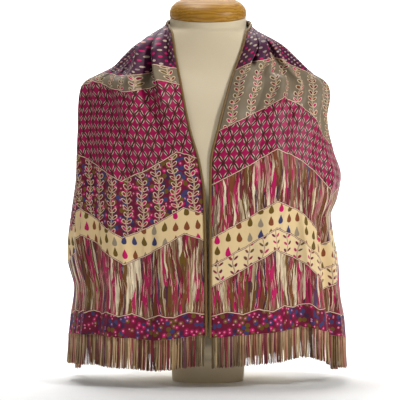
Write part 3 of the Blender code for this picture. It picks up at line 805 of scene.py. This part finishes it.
def garlands(ground, spacing):
    """Upright wavy stems with a pair of slanting leaves at each turn, over a ground."""
    turn_height, stem_sway, half_stem = 0.0105, 0.0018, 0.0010
    leaf_away, half_leaf_length, half_leaf_breadth = 0.0043, 0.0052, 0.0025
    leaf_run, leaf_rise = 0.72, 0.69
    place = across_print / spacing
    lane = place.whole()
    turn = up_print / turn_height + chance_of(lane, lane * 1.7)
    offset = (place.part() - 0.5) * spacing - (turn * (math.pi / 2)).sine() * stem_sway
    sideways = offset.size() - leaf_away
    upward = (turn.part() - 0.5) * turn_height
    length = sideways * leaf_run + upward * leaf_rise
    breadth = upward * leaf_run - sideways * leaf_rise
    reach = (length / half_leaf_length).squared() + (breadth / half_leaf_breadth).squared()
    colour = blend_colours(tree, ground, drawn_line, reach.below(1.0))
    inner = choose(chance_of(lane + offset.above(0.0) * 0.37, turn.whole()),
                   (wine, brown, wine, magenta, olive, linear(150, 30, 44)))
    colour = blend_colours(tree, colour, inner, reach.below(0.50))
    return blend_colours(tree, colour, mottled(drawn_line, brown, 200.0), offset.size().below(half_stem))


def drops():
    """Rows of small drops, wide at the foot and a little out of line, on beige."""
    column_width, row_height = 0.0170, 0.0200
    half_breadth, half_height, narrowing = 0.0036, 0.0072, 0.36
    column, row = across_print / column_width, up_print / row_height
    shift = chance_of(column.whole(), row.whole())
    x = (column.part() - 0.5) * column_width
    y = (row.part() - 0.5 + (shift - 0.5) * 0.25) * row_height
    reach = (x / (half_breadth - y * narrowing)).squared() + (y / half_height).squared()
    tint = choose(shift, (olive, slate, brown, magenta, linear(150, 134, 112), olive))
    return blend_colours(tree, mottled(beige, linear(222, 192, 142), 30.0), tint, reach.below(1.0))


bands = (
    # side, lowest, zigzag width, zigzag height, start of the zigzag, look; each covers what lies above it
    (left_side, 0.000, 0.048, 0.006, 0.00, "beads"),
    (left_side, 0.036, 0.048, 0.006, 0.00, "streaks"),
    (left_side, 0.136, 0.200, 0.044, 0.35, "drops"),
    (left_side, 0.176, 0.200, 0.044, 0.35, "garlands on beads"),
    (left_side, 0.262, 0.200, 0.044, 0.35, "trellis"),
    (left_side, 0.392, 0.150, 0.020, 0.30, "garlands on taupe"),
    (left_side, 0.420, 0.150, 0.020, 0.30, "dots"),
    (right_side, 0.000, 0.048, 0.006, 0.00, "beads"),
    (right_side, 0.036, 0.048, 0.006, 0.00, "streaks"),
    (right_side, 0.096, 0.260, 0.060, 0.10, "garlands on beige"),
    (right_side, 0.128, 0.260, 0.060, 0.10, "drops"),
    (right_side, 0.170, 0.260, 0.060, 0.10, "streaks"),
    (right_side, 0.250, 0.260, 0.060, 0.10, "trellis"),
    (right_side, 0.335, 0.260, 0.060, 0.10, "garlands on taupe"),
    (right_side, 0.430, 0.180, 0.022, 0.10, "dots"),
)
beads_look = beads()
looks = {
    "trellis": trellis(), "dots": dots(), "beads": beads_look, "drops": drops(), "streaks": streaks(),
    "garlands on taupe": garlands(mottled(taupe, linear(112, 98, 78), 30.0), 0.0300),
    "garlands on beads": garlands(beads_look, 0.0270),
    "garlands on beige": garlands(beige, 0.0230),
}
half_dark_line, half_pale_line, last_weft = 0.0014, 0.0006, 0.0014
print_colour = beads_look
for side, low, zig_width, zig_height, start, look in bands:
    zigzag = ((across_print / zig_width + start).part() - 0.5).size() * (2 * zig_height)
    level = up_print + zigzag - zig_height / 2
    here = on_left if side == left_side else 1.0 - on_left
    print_colour = blend_colours(tree, print_colour, looks[look], here * level.above(low))
    if low > 0:
        to_edge = (level - low).size()
        print_colour = blend_colours(tree, print_colour, wine, here * to_edge.below(half_dark_line))
        print_colour = blend_colours(tree, print_colour, drawn_line, here * to_edge.below(half_pale_line))
print_colour = blend_colours(tree, print_colour, linear(150, 122, 100), up_print.below(last_weft))
tree.links.new(print_colour, shader.inputs["Base Color"])

# The silk's own surface: a fine slanting twill, soft rumples and small crumples between them.
twill_relief, rumple_relief, crumple_relief = 0.00002, 0.0042, 0.0006
twill = ((across_print - along_print) * 1400.0).sine()
rumples = noise_field(tree, pair(across_print / 0.030, along_print / 0.075), 1.0, detail=2.0)
crumples = noise_field(tree, pair(across_print / 0.009, along_print / 0.016), 1.0, detail=2.0)
add_bump(tree, shader, twill * twill_relief + rumples * rumple_relief + crumples * crumple_relief, 1.0)

scarf = new_piece("scarf_silk", silk_mesh, silk)
wall = scarf.modifiers.new("wall", "SOLIDIFY")
wall.thickness = silk_wall
wall.offset = 0
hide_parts("scarf_left_front", "scarf_back", "scarf_right_front")

# The rolled hems: both long edges are rolled by hand over an olive band and stitched down. One runs up
# the right front, round the nape and down the left front; the other crosses the back.
roll_radius = 0.0021
roll_set_off = 0.9     # the roll's middle stands this share of its radius off the cloth's edge
roll_step = 0.0015
stitch = 0.0060
stitch_dimple = 0.07


def tube_mesh(name, route, radii, sides):
    """A round tube along a route, with its own radius at each point and flat ends."""
    along_route = np.gradient(route, axis=0)
    along_route /= np.linalg.norm(along_route, axis=1)[:, None]
    across_route = np.zeros_like(route)
    guide = np.array((0.0, 0.0, 1.0)) if abs(along_route[0][2]) < 0.8 else np.array((1.0, 0.0, 0.0))
    for i, direction in enumerate(along_route):
        guide = guide - direction * guide.dot(direction)
        guide = guide / np.linalg.norm(guide)
        across_route[i] = guide
    third = np.cross(along_route, across_route)
    angles = np.linspace(0, 2 * math.pi, sides, endpoint=False)
    rings = (route[:, None, :] + radii[:, None, None]
             * (np.cos(angles)[None, :, None] * across_route[:, None, :]
                + np.sin(angles)[None, :, None] * third[:, None, :]))
    mesh = grid_mesh(name, rings, closed=True)
    close_ends(mesh, sides)
    return mesh


def roll_along(name, edge, inner):
    """A stitched roll beside an edge of the cloth; inner is the line just inside that edge."""
    forward = np.gradient(edge, axis=0)
    forward /= np.linalg.norm(forward, axis=1)[:, None]
    away = edge - inner
    away -= forward * np.sum(away * forward, axis=1)[:, None]
    for _ in range(6):
        away[1:-1] = (away[:-2] + 2 * away[1:-1] + away[2:]) / 4
    away /= np.linalg.norm(away, axis=1)[:, None]
    route = edge + away * roll_radius * roll_set_off
    for _ in range(3):
        route[1:-1] = (route[:-2] + 2 * route[1:-1] + route[2:]) / 4
    travelled = np.concatenate([[0], np.cumsum(np.linalg.norm(np.diff(route, axis=0), axis=1))])
    even = np.linspace(0, travelled[-1], int(travelled[-1] / roll_step))
    route = np.stack([np.interp(even, travelled, route[:, axis]) for axis in range(3)], axis=1)
    dimple = np.cos(even / stitch * 2 * math.pi)
    radii = roll_radius * (1 - stitch_dimple * np.clip(dimple, 0.4, 1))
    return tube_mesh(name, route, radii, 10)


hem_cloth, shader, tree = new_material("olive_hem", roughness=0.5, sheen=0.2)
tone = blend_colours(tree, linear(128, 94, 26), linear(88, 60, 12),
                     noise_field(tree, object_place(tree), 260.0, detail=3.0))
tree.links.new(tone, shader.inputs["Base Color"])
edge_line = np.concatenate([silk_points[:-1, 0], silk_points[-1, :], silk_points[:-1, -1][::-1]])
line_within = np.concatenate([silk_points[:-1, 1], silk_points[-2, :], silk_points[:-1, -2][::-1]])
inner_roll = roll_along("inner_hem", edge_line, line_within)
inner_hem = new_piece("inner_hem", inner_roll, hem_cloth)
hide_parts("hem_inner_edge")
hem_gap = 0.006
between = np.flatnonzero((turns > corner + hem_gap) & (turns < 2 - corner - hem_gap))
outer_roll = roll_along("outer_hem", silk_points[0, between], silk_points[1, between])
outer_hem = new_piece("outer_hem", outer_roll, hem_cloth)
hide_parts("hem_outer_edge")

# The fringes: the cloth's own warp threads, left long and lightly twisted at each end. They hang from the
# last weft thread in bands of the print's colours and stray a little at their tips.
strands_an_end = 620
strand_length = 0.0465
strand_radius = 0.00074
strand_floor = 0.0040
strand_steps = 6
strand_sides = 4
strand_start = 0.0012  # a strand's top is this far up behind the cloth's edge
strand_taper = 0.25
strand_twist = 1.2
bundle_drift, own_drift, outward_drift = 0.0004, 0.0006, 0.003


def make_fringe(name, first_turn, last_turn, seed, node):
    """One fringed end as a single mesh of fine tapering strands."""
    chance = random.Random(seed)
    bottom = silk_points[0]
    edge_across = across[0]
    within = np.flatnonzero((turns > first_turn - 1e-6) & (turns < last_turn + 1e-6))
    lengths = round_right[0, within]
    points, faces, u, v = [], [], [], []
    for strand in range(strands_an_end):
        place_in_end = (strand + chance.uniform(0.2, 0.8)) / strands_an_end
        turn = np.interp(lengths[0] + (lengths[-1] - lengths[0]) * place_in_end, lengths, turns[within])
        root = np.array([np.interp(turn, turns, bottom[:, axis]) for axis in range(3)])
        away = np.array((root[0], root[1], 0.0))
        away /= np.linalg.norm(away)
        aside = np.array((-away[1], away[0], 0.0))
        bundle = math.sin(strand * 0.83) + 0.7 * math.sin(strand * 0.31 + seed)
        drift = aside * (bundle * bundle_drift + chance.uniform(-own_drift, own_drift))
        drift = drift + away * chance.uniform(-outward_drift / 3, outward_drift)
        curl = aside * chance.uniform(-own_drift, own_drift)
        reach = min(strand_length * chance.uniform(0.96, 1.02), root[2] - strand_floor)
        radius = strand_radius * chance.uniform(0.8, 1.2)
        place = np.interp(turn, turns, edge_across)
        first_point = len(points)
        for step in range(strand_steps + 1):
            share = step / strand_steps
            middle = root + np.array((0, 0, strand_start - reach * share))
            middle = middle + drift * share ** 1.4 + curl * math.sin(share * 2.6)
            thick = radius * (1 - strand_taper * share ** 2)
            for side in range(strand_sides):
                angle = 2 * math.pi * side / strand_sides + share * strand_twist
                points.append(middle + thick * (math.cos(angle) * aside + math.sin(angle) * away))
                u.append(place)
                v.append(share)
        for step in range(strand_steps):
            for side in range(strand_sides):
                a = first_point + step * strand_sides + side
                b = first_point + step * strand_sides + (side + 1) % strand_sides
                faces.append((a, b, b + strand_sides, a + strand_sides))
        faces.append(tuple(range(first_point + strand_sides - 1, first_point - 1, -1)))
        faces.append(tuple(range(len(points) - strand_sides, len(points))))
    mesh = bpy.data.meshes.new(name)
    mesh.from_pydata([tuple(point) for point in points], [], faces)
    add_map(mesh, "strand", np.array(u), np.array(v))
    shape = bmesh.new()
    shape.from_mesh(mesh)
    bmesh.ops.recalc_face_normals(shape, faces=shape.faces[:])
    shape.to_mesh(mesh)
    shape.free()
    piece = new_piece(name, mesh, fringe_silk)
    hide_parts(node)
    return piece


fringe_silk, shader, tree = new_material("fringe_silk", roughness=0.55, sheen=0.05)
map_node = tree.nodes.new("ShaderNodeUVMap")
map_node.uv_map = "strand"
map_parts = tree.nodes.new("ShaderNodeSeparateXYZ")
tree.links.new(map_node.outputs["UV"], map_parts.inputs[0])
place_across = Field(tree, map_parts.outputs[0])
zero = place_across * 0.0
group = noise_field(tree, pair(place_across / 0.020, zero), 1.0, detail=1.0)
colour = choose((group - 0.5) * 1.9 + 0.5, (
    linear(124, 84, 26), linear(188, 30, 74), linear(134, 106, 70), linear(182, 150, 106),
    linear(112, 72, 34), linear(176, 108, 86), linear(138, 36, 50), linear(146, 116, 76),
    linear(178, 144, 102), linear(118, 66, 80), linear(176, 40, 72), linear(138, 94, 30)))
beside_hem = 0.012
colour = blend_colours(tree, colour, linear(120, 98, 64), place_across.below(beside_hem))
strand_number = (place_across / (scarf_width / strands_an_end)).whole()
stray_share = 0.40
is_stray = chance_of(strand_number, zero).below(stray_share)
stray = choose(chance_of(strand_number, zero + 7.0), (
    linear(206, 178, 134), linear(102, 26, 38), linear(86, 60, 16), linear(214, 186, 142),
    linear(86, 64, 40)))
colour = blend_colours(tree, colour, stray, is_stray)
tree.links.new(colour, shader.inputs["Base Color"])
fringe_left = make_fringe("fringe_left_strands", 2 - corner, 2.0, 8, "fringe_left")
fringe_right = make_fringe("fringe_right_strands", 0.0, corner, 3, "fringe_right")
